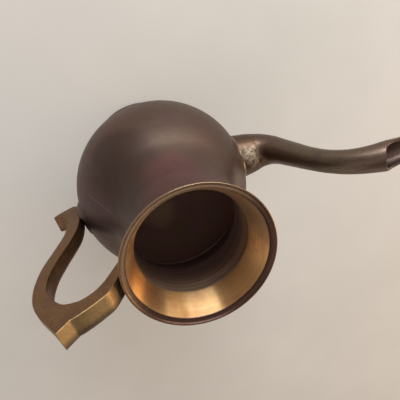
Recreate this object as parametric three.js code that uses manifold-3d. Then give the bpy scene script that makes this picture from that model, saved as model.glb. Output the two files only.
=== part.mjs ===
// A small spouted brass jug that stands on its foot. Millimetres, +Z up, +X towards the spout.
// Cast and turned pieces are brazed together: bowl, shoulder with neck, mouth, foot, spout, handle.
import * as THREE from "three";
import { mergeVertices } from "three/addons/utils/BufferGeometryUtils.js";
import Module from "manifold-3d";

const wasm = await Module();
wasm.setup();

// Fits
const turnedGap = 0.15; // film between turned pieces on one axis
const cutGap = 0.3; // between a curved seat and the piece it is cut to

// Bowl and shoulder
const bowlRadius = 38;
const bowlWall = 1.4;
const bowlClearance = 9.5; // table to the bowl's underside
const seamLatitude = 30; // degrees above the widest point
const seamWidth = 0.9;
const lapDepth = 2.6; // how far the shoulder slips into the bowl
const lapWall = 1.1;
const shoulderLatitude = 40; // degrees; above it the shoulder sweeps up into the neck

// Neck and mouth
const neckRadius = 23.3;
const neckWall = 1.2;
const neckRise = 11.55; // from where the shoulder's slope would meet the neck's side to its top
const jointWidth = 0.9; // seam between neck and mouth
const spigotDepth = 5.5; // the mouth slips this far into the neck
const spigotWall = 1.1;
const mouthStraight = 4.6; // neck top to where the mouth starts to widen
const throatHeight = 11.1; // neck top to the narrowest place
const throatStep = 0.25; // the throat is this much narrower than the spigot inside
const flareBend = [1.07, 4.87]; // from the narrowest place, out and up, to where the flare's end slopes meet
const mouthHeight = 21.9; // neck top to the rim's crest
const rimOverhang = 3.6; // rim beyond the neck
const lipWidth = 2.3;
const lipDrop = 1.1; // the lip's inner edge lies this far below its crest
const lipThickness = 0.6; // under the lip's inner edge
const lipEdge = 0.6; // height of the lip's outer edge
const lipRounding = 0.3;

// Foot
const footRadius = 28.4;
const footWaist = 20.2; // radius where the foot meets the bowl
const footWall = 1.6;
const footRimHeight = 1.6;
const footRimWidth = 2.7;
const footRimStep = 0.9; // from the rim's edge in to the flare
const footRimSlope = 0.8; // height of the slope on top of the rim

// Brazed fillets
const filletWidth = 1.7;
const spoutFillet = 1.3; // braze beyond the spout's root
const spoutFilletHeight = 2.5;
const padThickness = 0.8; // bed of braze under each end of the handle
const padMargin = 0.5; // how far the bed shows round the handle

// Spout: [beyond the bowl's side, above the bowl's centre, outer radius] along its middle
const spoutLine = [
  [-6.0, -0.6, 11.4],
  [-1.4, 1.0, 10.2],
  [4.9, 2.5, 9.1],
  [9.5, 4.1, 7.8],
  [13.1, 7.4, 6.7],
  [15.7, 12.5, 5.8],
  [17.7, 18.2, 5.4],
  [21.4, 29.3, 4.8],
  [25.5, 37.8, 4.7],
  [30.6, 43.9, 4.9],
  [36.6, 47.8, 5.3],
  [43.3, 50.3, 5.8],
  [49.0, 51.0, 5.3],
  [57.5, 51.0, 4.6],
];
const spoutWall = 1.2;
const spoutHoleRadius = 7; // hole in the bowl behind the spout
const lipCutStart = 40.2; // beyond the bowl's side: the open lip starts here
const lipCutReach = 5; // length of the curve from the crest down to the lip's sides
const lipCutDepth = 6.2; // from the crest down to the lip's sides

// Handle: ribs from the inner to the outer edge, [inner out, inner up, outer out, outer up].
// The lower ribs are measured from the bowl's side and centre height, out and up.
const lowerRibs = [
  [12.4, -2.8, 12.4, -1.8],
  [9.8, -4.3, 10.5, -0.9],
  [6.1, -5.9, 8.1, 1.5],
  [2.9, -6.4, 6.5, 4.5],
  [1.1, -4.0, 6.1, 7.8],
  [0.4, 2.7, 6.4, 11.4],
  [1.1, 13.1, 7.4, 16.9],
  [3.3, 20.8, 8.8, 21.0],
  [7.5, 29.7, 12.0, 28.1],
  [11.8, 39.8, 16.1, 37.5],
];
// The upper ribs are measured from the rim's edge and crest, out and up.
const upperRibs = [
  [24.6, -16.0, 29.4, -16.4],
  [24.1, -11.5, 29.2, -8.7],
  [22.4, -7.3, 27.5, -2.6],
  [20.8, -4.2, 24.4, 3.8],
  [18.2, -1.4, 20.5, 11.0],
  [15.1, -0.3, 16.3, 7.6],
  [12.9, 0.0, 13.6, 7.0],
  [9.2, -1.2, 10.0, 5.6],
  [6.6, -3.0, 6.9, 4.1],
  [3.9, -5.8, 4.2, 2.5],
  [1.2, -9.6, 1.7, -1.0],
  [-3.4, -16.0, -3.1, -8.1],
  [-8.9, -22.1, -8.9, -12.9],
];
const handleWidth = 7.6;
// Rounding of the far side's edges along the handle: [rib, inner edge, outer edge]
const farEdges = [
  [0, 0.5, 0.5],
  [3, 3.4, 2.0],
  [8, 3.0, 2.0],
  [10, 1.6, 3.0],
  [12, 1.2, 5.0],
  [13.6, 1.2, 5.0],
  [14, 1.3, 1.3],
  [22, 1.3, 1.3],
];
const handleEdge = 0.5; // broken edge of the flat near side
const handlePadLow = -5.2; // lower braze bed, above the bowl's centre
const handlePadHigh = 13;
const handlePadNear = 3.2; // how far the lower bed spreads beyond the handle's near side
const upperPadLow = -15.8; // upper braze bed, above the rim's crest
const upperPadHigh = -5.8;

// Facets
const roundSides = 40;
const arcStep = 7.5; // degrees
const spoutSides = 24;
const stepsPerPoint = 3; // loft sections between two given points

// Values worked out from the sizes above
const bowlCentre = bowlClearance + bowlRadius;
const degree = Math.PI / 180;
const neckTopZ = sweepStart(bowlRadius, neckRadius).corner[1] + neckRise;
const jointTopZ = neckTopZ + 2 * turnedGap + jointWidth;
const spigotBottomZ = neckTopZ - spigotDepth;
const rimZ = neckTopZ + mouthHeight;
const rimRadius = neckRadius + rimOverhang;
const boreRadius = neckRadius - neckWall;
const spigotRadius = boreRadius - turnedGap;
const throatRadius = spigotRadius - spigotWall - throatStep;
const throatZ = neckTopZ + throatHeight;

// Where the shoulder leaves a ball round the bowl's centre, and where its slope meets the neck's side
function sweepStart(radius, neck) {
  const angle = shoulderLatitude * degree;
  const start = [radius * Math.cos(angle), bowlCentre + radius * Math.sin(angle)];
  return { start, corner: [neck, start[1] + (start[0] - neck) / Math.tan(angle)] };
}

// Points on a curve that leaves from and reaches to along the lines through corner
function sweep(from, corner, to, steps = 5) {
  const [a, b, c] = [from, corner, to].map((point) => new THREE.Vector2(...point));
  return new THREE.QuadraticBezierCurve(a, b, c).getPoints(steps).map((point) => [point.x, point.y]);
}

// A closed manifold solid from a geometry, turned to face out
function toSolid(geometry) {
  const bare = new THREE.BufferGeometry();
  bare.setAttribute("position", geometry.getAttribute("position"));
  bare.setIndex(geometry.index);
  const merged = mergeVertices(bare, 1e-4);
  const mesh = (triVerts) =>
    new wasm.Mesh({
      numProp: 3,
      vertProperties: new Float32Array(merged.attributes.position.array),
      triVerts,
    });
  const triangles = new Uint32Array(merged.index.array);
  const made = new wasm.Manifold(mesh(triangles));
  return made.volume() > 0 ? made : new wasm.Manifold(mesh(triangles.reverse()));
}

// The solid's surface as a geometry for a mesh
function toGeometry(solid) {
  const mesh = solid.getMesh();
  const geometry = new THREE.BufferGeometry();
  geometry.setAttribute("position", new THREE.BufferAttribute(mesh.vertProperties, 3));
  geometry.setIndex(new THREE.BufferAttribute(mesh.triVerts, 1));
  geometry.computeVertexNormals();
  return geometry;
}

// A solid turned about Z from [radius, height] points; close joins the last point to the first
function turned(profile, close = true) {
  const points = profile.map(([radius, height]) => new THREE.Vector2(radius, height));
  if (close) points.push(points[0].clone());
  return toSolid(new THREE.LatheGeometry(points, roundSides).rotateX(Math.PI / 2));
}

// Points on a circle round the bowl's centre, from one latitude to another, in degrees
function arc(radius, from, to) {
  const steps = Math.ceil(Math.abs(to - from) / arcStep);
  const points = [];
  for (let i = 0; i <= steps; i++) {
    const latitude = (from + ((to - from) * i) / steps) * degree;
    points.push([radius * Math.cos(latitude), bowlCentre + radius * Math.sin(latitude)]);
  }
  return points;
}

// A solid ball round the bowl's centre, used to cut seats
function ball(radius) {
  const profile = arc(radius, -90, 90);
  profile[0][0] = 0;
  profile[profile.length - 1][0] = 0;
  return turned(profile, false);
}

// A box between two corners
function block(low, high) {
  const size = high.map((value, i) => value - low[i]);
  const middle = high.map((value, i) => (value + low[i]) / 2);
  return toSolid(new THREE.BoxGeometry(...size).translate(...middle));
}

// A solid through rings of points, each ring [Vector3, ...]; outline gives the caps' triangles
function loft(rings, outline) {
  const count = rings[0].length;
  const area = THREE.ShapeUtils.area;
  const turn = Math.sign(area(outline));
  const caps = THREE.ShapeUtils.triangulateShape(outline, []).map((triangle) =>
    Math.sign(area(triangle.map((i) => outline[i]))) === turn ? triangle : triangle.reverse(),
  );
  const last = (rings.length - 1) * count;
  const index = [];
  for (let ring = 0; ring < rings.length - 1; ring++) {
    for (let i = 0; i < count; i++) {
      const a = ring * count + i;
      const b = ring * count + ((i + 1) % count);
      index.push(a, b, b + count, a, b + count, a + count);
    }
  }
  for (const [a, b, c] of caps) {
    index.push(c, b, a);
    index.push(last + a, last + b, last + c);
  }
  const geometry = new THREE.BufferGeometry().setFromPoints(rings.flat());
  geometry.setIndex(index);
  return toSolid(geometry);
}

// Lower part of the bowl: its edge stops short of the seam and takes the shoulder's lap inside
const seamHalf = seamWidth / 2 / bowlRadius / degree;
const seamGap = turnedGap / bowlRadius / degree;
function bowl() {
  const top = seamLatitude - seamHalf - seamGap;
  const outside = arc(bowlRadius, -90, top);
  const inside = arc(bowlRadius - bowlWall, top, -90);
  outside[0][0] = 0;
  inside[inside.length - 1][0] = 0;
  return turned([...outside, ...inside], false).subtract(spoutHole());
}

// Shoulder, drawn up into the neck, with a lap that slips into the bowl
function shoulder() {
  const inner = bowlRadius - bowlWall;
  const outside = sweepStart(bowlRadius, neckRadius);
  const inside = sweepStart(inner, boreRadius);
  const lapOuter = inner - turnedGap;
  const edge = seamLatitude + seamHalf + seamGap;
  const lapBottom = seamLatitude - lapDepth / lapOuter / degree;
  return turned([
    ...arc(bowlRadius, edge, shoulderLatitude),
    ...sweep(outside.start, outside.corner, [neckRadius, neckTopZ]).slice(1),
    [boreRadius, neckTopZ],
    ...sweep([boreRadius, spigotBottomZ - turnedGap], inside.corner, inside.start),
    ...arc(inner, shoulderLatitude, edge + 2 * seamHalf).slice(1),
    ...arc(lapOuter - lapWall, edge + seamHalf, lapBottom),
    ...arc(lapOuter, lapBottom, edge),
  ]);
}

// Braze in the seam between bowl and shoulder, flush with both
function seamBraze() {
  const low = seamLatitude - seamHalf;
  const high = seamLatitude + seamHalf;
  return turned([
    ...arc(bowlRadius, low, high),
    ...arc(bowlRadius - bowlWall, high, low),
  ]);
}

// Outside of the mouth, without the lip, as [radius, height] from the neck up to the lip
const lipFootZ = rimZ - lipDrop - lipThickness;
const lipStep = lipWidth / 2; // the lip stands this far out from the flare
const mouthStart = neckTopZ + mouthStraight;
const mouthOutside = [
  [neckRadius, jointTopZ],
  ...sweep(
    [neckRadius, mouthStart],
    [neckRadius, (mouthStart + lipFootZ) / 2],
    [rimRadius - lipStep, lipFootZ],
  ),
];

// Mouth: a spigot in the neck, a narrow throat, a curved flare and a rounded lip
function mouth() {
  const lipInner = rimRadius - lipWidth;
  const flareCorner = [throatRadius + flareBend[0], throatZ + flareBend[1]];
  return turned([
    ...mouthOutside,
    [rimRadius, rimZ - lipEdge],
    [rimRadius, rimZ - lipRounding],
    [rimRadius - lipRounding, rimZ],
    [(rimRadius + lipInner) / 2, rimZ - lipRounding / 2],
    ...sweep([lipInner, rimZ - lipDrop], flareCorner, [throatRadius, throatZ]),
    [throatRadius + throatStep, neckTopZ],
    [throatRadius + throatStep, spigotBottomZ],
    [spigotRadius, spigotBottomZ],
    [spigotRadius, jointTopZ],
  ]);
}

// Braze in the seam between neck and mouth, flush with both
function mouthBraze() {
  const inner = spigotRadius + turnedGap;
  return turned([
    [inner, neckTopZ + turnedGap],
    [neckRadius, neckTopZ + turnedGap],
    [neckRadius, jointTopZ - turnedGap],
    [inner, jointTopZ - turnedGap],
  ]);
}

// Height of the bowl's underside, with a film of solder, at a distance from the axis
function underBowl(distance) {
  return bowlCentre - Math.sqrt((bowlRadius + turnedGap) ** 2 - distance ** 2);
}

// Foot: a flat rim to stand on and a wall that sweeps in and up to the bowl
function foot() {
  const steps = 5;
  const sweep = (base, waist, low, high) =>
    Array.from({ length: steps + 1 }, (_, i) => {
      const angle = (i / steps) * 90 * degree;
      return [base - (base - waist) * Math.sin(angle), high - (high - low) * Math.cos(angle)];
    });
  const inWaist = footWaist - footWall;
  const outside = sweep(
    footRadius - footRimStep,
    footWaist,
    footRimHeight + footRimSlope,
    underBowl(footWaist),
  );
  const inside = sweep(
    footRadius - footRimWidth,
    inWaist,
    footRimHeight / 2,
    underBowl(inWaist),
  );
  return turned([
    [footRadius - footRimWidth, 0],
    [footRadius, 0],
    [footRadius, footRimHeight],
    ...outside,
    ...inside.reverse(),
  ]);
}

// Braze in the corner between foot and bowl
function footBraze() {
  const inner = footWaist + 2 * turnedGap;
  const outer = inner + filletWidth;
  return turned([
    [inner + turnedGap, underBowl(inner) - filletWidth],
    [inner + filletWidth * 0.5, underBowl(inner) - filletWidth * 0.1],
    [outer, underBowl(outer)],
    [inner, underBowl(inner)],
  ]);
}

// The spout's middle line; its y holds the outer radius, so one curve gives both
const spoutCurve = new THREE.CatmullRomCurve3(
  spoutLine.map(
    ([out, up, radius]) => new THREE.Vector3(bowlRadius + out, radius, bowlCentre + up),
  ),
);
const spoutStations = spoutCurve.getPoints((spoutLine.length - 1) * stepsPerPoint);

// Direction of the middle line at a station, in the plane of the spout
function spoutDirection(i) {
  const before = spoutStations[Math.max(i - 1, 0)];
  const after = spoutStations[Math.min(i + 1, spoutStations.length - 1)];
  return new THREE.Vector3(after.x - before.x, 0, after.z - before.z).normalize();
}

// Rings along the spout: section(radius) gives [across, sideways] points about the middle
function spoutRings(section) {
  return spoutStations.map((station, i) => {
    const along = spoutDirection(i);
    return section(station.y).map(
      ([across, side]) =>
        new THREE.Vector3(station.x - along.z * across, side, station.z + along.x * across),
    );
  });
}

// Half of the spout's wall, on the side of +1 or -1
function spoutHalfSection(radius, side) {
  const half = spoutSides / 2;
  const points = [];
  for (let i = 0; i <= half; i++) {
    const angle = (i / half) * Math.PI;
    points.push([radius * Math.cos(angle), side * radius * Math.sin(angle)]);
  }
  for (let i = half; i >= 0; i--) {
    const angle = (i / half) * Math.PI;
    const bore = radius - spoutWall;
    points.push([bore * Math.cos(angle), side * bore * Math.sin(angle)]);
  }
  return points;
}

// The whole spout, filled, grown by a gap
function spoutFilled(grow) {
  const section = (radius) =>
    Array.from({ length: spoutSides }, (_, i) => {
      const angle = (i / spoutSides) * 2 * Math.PI;
      return [(radius + grow) * Math.cos(angle), (radius + grow) * Math.sin(angle)];
    });
  const outline = section(1).map(([x, y]) => new THREE.Vector2(x, y));
  return loft(spoutRings(section), outline);
}

// What is cut away above the open lip: down from the crest in a curve, then level
function lipCutter() {
  const start = bowlRadius + lipCutStart;
  const tip = spoutStations[spoutStations.length - 1];
  const crest = tip.z + Math.max(...spoutLine.map(([, , radius]) => radius).slice(-3));
  const shape = new THREE.Shape();
  shape.moveTo(start, crest + 5);
  shape.lineTo(start, crest);
  shape.quadraticCurveTo(start + 0.6, crest - lipCutDepth, start + lipCutReach, crest - lipCutDepth);
  shape.lineTo(tip.x + 5, crest - lipCutDepth);
  shape.lineTo(tip.x + 5, crest + 5);
  const width = 4 * tip.y;
  const flat = new THREE.ExtrudeGeometry(shape, {
    depth: width,
    bevelEnabled: false,
    curveSegments: 5,
  });
  return toSolid(flat.rotateX(Math.PI / 2).translate(0, width / 2, 0));
}

// One half of the spout, cut to the bowl and to the open lip
function spoutHalf(side) {
  const outline = spoutHalfSection(3 * spoutWall, side).map(([x, y]) => new THREE.Vector2(x, y));
  return loft(
    spoutRings((radius) => spoutHalfSection(radius, side)),
    outline,
  )
    .subtract(ball(bowlRadius + cutGap))
    .subtract(lipCutter());
}

// The line of the spout where it leaves the bowl, for the hole and the braze
const rootStart = spoutStations[0];
const rootEnd = spoutStations[2 * stepsPerPoint];
const rootTilt = Math.atan2(rootEnd.z - rootStart.z, rootEnd.x - rootStart.x);
function alongRoot(geometry) {
  return toSolid(geometry.rotateY(-rootTilt).translate(rootStart.x, 0, rootStart.z));
}

// Hole through the bowl behind the spout
function spoutHole() {
  const length = 4 * spoutHoleRadius;
  return alongRoot(
    new THREE.CylinderGeometry(spoutHoleRadius, spoutHoleRadius, length, spoutSides).rotateZ(
      Math.PI / 2,
    ),
  );
}

// Braze round the spout's root, cut to the bowl and to the spout
function spoutBraze() {
  const root = spoutLine[1][2];
  const toBowl = -spoutLine[0][0];
  const top = toBowl + spoutFilletHeight / 2;
  const profile = [
    [root / 2, 0],
    [root + 2 * spoutFillet, 0],
    [root + spoutFillet, top - spoutFilletHeight],
    [root - spoutFillet / 2, top],
    [root / 2, top],
  ].map(([radius, height]) => new THREE.Vector2(radius, height));
  profile.push(profile[0].clone());
  return alongRoot(new THREE.LatheGeometry(profile, roundSides).rotateZ(-Math.PI / 2))
    .subtract(ball(bowlRadius + cutGap))
    .subtract(spoutFilled(cutGap));
}

// Rails of the handle, as points on its inner and outer edge
function rails() {
  const low = (out, up) => new THREE.Vector3(-(bowlRadius + out), 0, bowlCentre + up);
  const high = (out, up) => new THREE.Vector3(-(rimRadius + out), 0, rimZ + up);
  const inner = [
    ...lowerRibs.map(([out, up]) => low(out, up)),
    ...upperRibs.map(([out, up]) => high(out, up)),
  ];
  const outer = [
    ...lowerRibs.map(([, , out, up]) => low(out, up)),
    ...upperRibs.map(([, , out, up]) => high(out, up)),
  ];
  const steps = (inner.length - 1) * stepsPerPoint;
  return [inner, outer].map((points) =>
    new THREE.CatmullRomCurve3(points, false, "centripetal").getPoints(steps),
  );
}

// Rounding of the far side's inner and outer edge, at a number of ribs from the tail's end
function farEdge(rib) {
  const next = Math.max(
    1,
    farEdges.findIndex(([at]) => at >= rib),
  );
  const [before, after] = [farEdges[next - 1], farEdges[next]];
  const share = (rib - before[0]) / (after[0] - before[0]);
  return [1, 2].map((i) => before[i] + (after[i] - before[i]) * share);
}

// One section of the handle: flat near side with broken edges, far side with rounded edges
function handleSection(thickness, roundings) {
  const half = thickness / 2;
  const near = handleWidth / 2;
  const edge = Math.min(handleEdge, thickness * 0.2);
  const fit = Math.min(1, (0.95 * thickness) / (roundings[0] + roundings[1]));
  const [inner, outer] = roundings.map((radius) => radius * fit);
  const points = [
    [-half, near - edge],
    [-half + edge, near],
    [half - edge, near],
    [half, near - edge],
  ];
  const steps = 3;
  const angles = Array.from({ length: steps + 1 }, (_, i) => (i / steps) * 90 * degree);
  for (const angle of angles) {
    points.push([half - outer + outer * Math.cos(angle), -near + outer - outer * Math.sin(angle)]);
  }
  for (const angle of angles) {
    points.push([-half + inner - inner * Math.sin(angle), -near + inner - inner * Math.cos(angle)]);
  }
  return points;
}

// The handle before it is cut to its seats
function handleBlank() {
  const [inner, outer] = rails();
  const rings = inner.map((from, i) => {
    const rib = outer[i].clone().sub(from);
    const middle = from.clone().add(outer[i]).multiplyScalar(0.5);
    const along = rib.clone().normalize();
    return handleSection(rib.length(), farEdge(i / stepsPerPoint)).map(([across, side]) =>
      middle
        .clone()
        .addScaledVector(along, across)
        .setY(side),
    );
  });
  const outline = handleSection(handleWidth, farEdge(0)).map(([x, y]) => new THREE.Vector2(x, y));
  return loft(rings, outline);
}

// The mouth's outside, filled and grown, up to the lip
function mouthFilled(grow) {
  const low = [neckRadius, spigotBottomZ];
  const high = [rimRadius - lipStep, rimZ];
  const sides = [low, ...mouthOutside, high].map(([radius, height]) => [radius + grow, height]);
  return turned([[0, spigotBottomZ], ...sides, [0, rimZ]], false);
}

// The lip with the gap round it
function lipFilled() {
  const edge = rimRadius + cutGap;
  return turned(
    [
      [0, lipFootZ - cutGap],
      [edge, lipFootZ - cutGap],
      [edge, rimZ + mouthHeight],
      [0, rimZ + mouthHeight],
    ],
    false,
  );
}

// Handle: a flat-sided bar that curls out in a tail below and rises to a thumb piece above
function handle() {
  const seat = 2 * cutGap + padThickness;
  return handleBlank()
    .subtract(ball(bowlRadius + seat))
    .subtract(mouthFilled(seat))
    .subtract(lipFilled());
}

// Bed of braze between the handle's lower end and the bowl
function handleLowerBraze() {
  const reach = handleWidth / 2 + padMargin;
  const side = block(
    [-bowlRadius - 5, -reach, bowlCentre + handlePadLow],
    [-bowlRadius / 2, handleWidth / 2 + handlePadNear, bowlCentre + handlePadHigh],
  );
  return ball(bowlRadius + cutGap + padThickness)
    .intersect(side)
    .subtract(ball(bowlRadius + cutGap));
}

// Bed of braze between the handle's upper end and the mouth
function handleUpperBraze() {
  const reach = handleWidth / 2 + padMargin;
  const side = block(
    [-rimRadius - 5, -reach, rimZ + upperPadLow],
    [-neckRadius / 2, reach, rimZ + upperPadHigh],
  );
  return mouthFilled(cutGap + padThickness).intersect(side).subtract(mouthFilled(cutGap));
}

// Metals, with the colours of old brass
const patina = new THREE.MeshStandardMaterial({ color: 0x5d4b42, roughness: 0.42, metalness: 0.85 });
const worn = new THREE.MeshStandardMaterial({ color: 0x86663a, roughness: 0.38, metalness: 0.9 });
const polished = new THREE.MeshStandardMaterial({ color: 0xa87c3f, roughness: 0.25, metalness: 1 });
const braze = new THREE.MeshStandardMaterial({ color: 0xb59a62, roughness: 0.5, metalness: 0.9 });

const jug = new THREE.Group();
function add(name, solid, material) {
  const mesh = new THREE.Mesh(toGeometry(solid), material);
  mesh.name = name;
  jug.add(mesh);
}

add("bowl", bowl(), patina);
add("shoulder", shoulder(), patina);
add("seam_braze", seamBraze(), patina);
add("mouth", mouth(), polished);
add("mouth_braze", mouthBraze(), patina);
add("foot", foot(), patina);
add("foot_braze", footBraze(), braze);
add("spout_left_half", spoutHalf(1), patina);
add("spout_right_half", spoutHalf(-1), patina);
add("spout_braze", spoutBraze(), braze);
add("handle", handle(), worn);
add("handle_lower_braze", handleLowerBraze(), braze);
add("handle_upper_braze", handleUpperBraze(), braze);

// The part's origin is under the middle of its outline, on the table
const outline = new THREE.Box3().setFromObject(jug);
jug.position.x = -(outline.min.x + outline.max.x) / 2;

export default jug;
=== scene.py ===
"""A small spouted brass jug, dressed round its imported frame, in millimetres until a mesh is made."""
import math

import bmesh
import bpy
import numpy as np
from mathutils import Matrix, Vector, noise


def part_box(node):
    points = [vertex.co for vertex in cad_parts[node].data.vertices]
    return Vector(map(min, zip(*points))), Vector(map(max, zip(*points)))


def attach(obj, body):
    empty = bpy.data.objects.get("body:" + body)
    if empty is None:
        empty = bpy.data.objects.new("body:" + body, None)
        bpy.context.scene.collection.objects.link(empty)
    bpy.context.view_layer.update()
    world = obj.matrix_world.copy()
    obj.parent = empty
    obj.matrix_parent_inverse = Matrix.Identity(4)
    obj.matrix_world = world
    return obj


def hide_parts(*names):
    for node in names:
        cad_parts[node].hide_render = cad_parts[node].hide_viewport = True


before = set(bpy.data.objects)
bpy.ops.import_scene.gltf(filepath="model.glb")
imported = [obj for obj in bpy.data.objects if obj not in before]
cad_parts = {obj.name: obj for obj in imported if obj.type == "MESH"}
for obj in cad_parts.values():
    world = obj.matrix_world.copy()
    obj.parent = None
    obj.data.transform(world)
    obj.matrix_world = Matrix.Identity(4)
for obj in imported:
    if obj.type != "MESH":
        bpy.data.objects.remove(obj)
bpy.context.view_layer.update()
MM = 0.001


def span(node):
    """A node's lowest and highest corner, in millimetres."""
    low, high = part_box(node)
    return np.array(low) / MM, np.array(high) / MM


# Sizes taken from the frame
foot_low, foot_high = span("foot")
bowl_low, bowl_high = span("bowl")
mouth_low, mouth_high = span("mouth")
AXIS = (foot_low[0] + foot_high[0]) / 2
FOOT_R = (foot_high[1] - foot_low[1]) / 2
BODY_R = (bowl_high[1] - bowl_low[1]) / 2
BODY_Z = bowl_low[2] + BODY_R
RIM_R = (mouth_high[1] - mouth_low[1]) / 2
RIM_Z = mouth_high[2]
SPIGOT_Z = mouth_low[2]
NECK_Z = span("shoulder")[1][2]
CENTRE = np.array([AXIS, 0, BODY_Z])

# Turned sizes, as in the frame's solids
WALL = 1.4
SEAM_LATITUDE = 30
SEAM_WIDTH = 0.9
SEAM_LINE = 0.03  # how far the fine lines beside the seams open
FIT = 0.03  # gap left between the body and what is brazed on
LAP_DEPTH = 2.6
LAP_WALL = 1.1
FILM = 0.15
SHOULDER_LATITUDE = 40
NECK_R = 23.3
BORE_R = 22.1
JOINT_WIDTH = 0.9
SPIGOT_WALL = 1.1
MOUTH_STRAIGHT = 4.6
THROAT_R = 20.6
THROAT_RISE = 11.1
FLARE_BEND = (1.07, 4.87)
LIP_WIDTH = 2.3
LIP_DROP = 1.1
LIP_THICKNESS = 0.6
LIP_EDGE = 0.6
THROAT_Z = NECK_Z + THROAT_RISE
LIP_FOOT = RIM_Z - LIP_DROP - LIP_THICKNESS
FOOT_WAIST = 20.2
FOOT_WALL = 1.6
FOOT_RIM_HEIGHT = 1.6
FOOT_RIM_WIDTH = 2.7
FOOT_RIM_STEP = 0.9
SIDES = 256

# Spout: [beyond the bowl's side, above the bowl's centre, outer radius]
SPOUT_LINE = [
    [-6.0, -0.6, 11.4],
    [-1.4, 1.0, 10.2],
    [4.9, 2.5, 9.1],
    [9.5, 4.1, 7.8],
    [13.1, 7.4, 6.7],
    [15.7, 12.5, 5.8],
    [17.7, 18.2, 5.4],
    [21.4, 29.3, 4.8],
    [25.5, 37.8, 4.7],
    [30.6, 43.9, 4.9],
    [36.6, 47.8, 5.3],
    [43.3, 50.3, 5.8],
    [49.0, 51.0, 5.3],
    [57.5, 51.0, 4.6],
]
SPOUT_WALL = 1.2
SPOUT_HOLE_R = 7
LIP_CUT_START = 40.2
LIP_CUT_REACH = 5
LIP_CUT_DEPTH = 6.2
LIP_CUT_LEAN = 0.6  # how far the cut leans out before it turns level
SPOUT_COLUMNS = 44  # columns round each half
SPOUT_ROOT_END = 16  # length along the spout over which its rows fan out to the bowl
SPOUT_GAP = 0.012  # half the gap between the halves
SPOUT_GROOVE = 0.05  # depth of the fine line along it
LEFT = np.array([0, 1, 0])

# Handle: ribs from inner to outer edge, [inner out, inner up, outer out, outer up]. The lower ones are
# measured from the bowl's side and centre height, the upper ones from the rim's edge and crest.
LOWER_RIBS = [
    [12.4, -2.8, 12.4, -1.8],
    [9.8, -4.3, 10.5, -0.9],
    [6.1, -5.9, 8.1, 1.5],
    [2.9, -6.4, 6.5, 4.5],
    [1.1, -4.0, 6.1, 7.8],
    [0.4, 2.7, 6.4, 11.4],
    [1.1, 13.1, 7.4, 16.9],
    [3.3, 20.8, 8.8, 21.0],
    [7.5, 29.7, 12.0, 28.1],
    [11.8, 39.8, 16.1, 37.5],
]
UPPER_RIBS = [
    [24.6, -16.0, 29.4, -16.4],
    [24.1, -11.5, 29.2, -8.7],
    [22.4, -7.3, 27.5, -2.6],
    [20.8, -4.2, 24.4, 3.8],
    [18.2, -1.4, 20.5, 11.0],
    [15.1, -0.3, 16.3, 7.6],
    [12.9, 0.0, 13.6, 7.0],
    [9.2, -1.2, 10.0, 5.6],
    [6.6, -3.0, 6.9, 4.1],
    [3.9, -5.8, 4.2, 2.5],
    [1.2, -9.6, 1.7, -1.0],
    [-3.4, -16.0, -3.1, -8.1],
    [-8.9, -22.1, -8.9, -12.9],
]
THUMB_CORNERS = [14, 15]  # ribs where the outer edge has a corner
HANDLE_WIDTH = 7.6
# Rounding of the far side's edges: [rib, inner edge, outer edge]
FAR_EDGES = np.array(
    [
        [0, 0.5, 0.5],
        [3, 3.4, 2.0],
        [8, 3.0, 2.0],
        [10, 1.6, 3.0],
        [12, 1.2, 5.0],
        [13.6, 1.2, 5.0],
        [14, 1.3, 1.3],
        [22, 1.3, 1.3],
    ]
)
HANDLE_EDGE = 0.45
RIB_STEPS = 12
# Shallow hollows in the handle's near side: [out from the rim's edge, above its crest, radius, depth]
DENTS = [[24.4, 0.8, 2.4, 0.28], [21.6, 2.2, 1.9, 0.24], [27.0, -8.0, 3.0, 0.10]]

# Camera: a pinhole at the photograph's place, as [right, down, forward] in the jug's frame
CAMERA_PLACE = CENTRE + np.array([-9.0, 81.44, 177.81])
CAMERA_RIGHT = Vector((0.92045, -0.28141, 0.27126))
CAMERA_DOWN = Vector((-0.37398, -0.83585, 0.40187))
CAMERA_FORWARD = Vector((0.11364, -0.47134, -0.87460))
CAMERA_LENS = 38.25  # mm on a 36 mm sensor


# Mesh helpers
SHARP = 32  # degrees between two faces over which their edge is drawn sharp


def make(name, points, faces, materials, picks=None, sharp=SHARP):
    """An object from points in millimetres, smooth except over edges sharper than the given degrees."""
    mesh = bpy.data.meshes.new(name)
    mesh.from_pydata((np.asarray(points, float) * MM).tolist(), [], faces)
    for material in materials:
        mesh.materials.append(material)
    if picks is not None:
        mesh.polygons.foreach_set("material_index", picks)
    work = bmesh.new()
    work.from_mesh(mesh)
    bmesh.ops.recalc_face_normals(work, faces=work.faces)
    work.to_mesh(mesh)
    work.free()
    smooth(mesh, sharp)
    obj = bpy.data.objects.new(name, mesh)
    bpy.context.scene.collection.objects.link(obj)
    return obj


def strips(rows, size, start=0):
    """Faces between rows of points, each row closed on itself."""
    faces = []
    for row in range(start, start + (rows - 1) * size, size):
        for k in range(size):
            a, b = row + k, row + (k + 1) % size
            faces.append([a, b, b + size, a + size])
    return faces


def smooth(mesh, sharp=SHARP):
    """Smooth shading with sharp edges over the given angle in degrees."""
    mesh.shade_smooth()
    mesh.set_sharp_from_angle(angle=math.radians(sharp))


def dress(obj, slot, *nodes):
    """The object stands for the CAD nodes and rides on the part's one body. slot is not used."""
    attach(obj, "root")
    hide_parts(*nodes)
    return obj


def apply_boolean(obj, cutters):
    """Cuts the object by each cutter and removes the cutters."""
    for cutter in cutters:
        step = obj.modifiers.new("cut", "BOOLEAN")
        step.operation = "DIFFERENCE"
        step.solver = "EXACT"
        step.object = cutter
    shape = bpy.data.meshes.new_from_object(obj.evaluated_get(bpy.context.evaluated_depsgraph_get()))
    obj.modifiers.clear()
    obj.data = shape
    for cutter in cutters:
        bpy.data.objects.remove(cutter)


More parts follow.
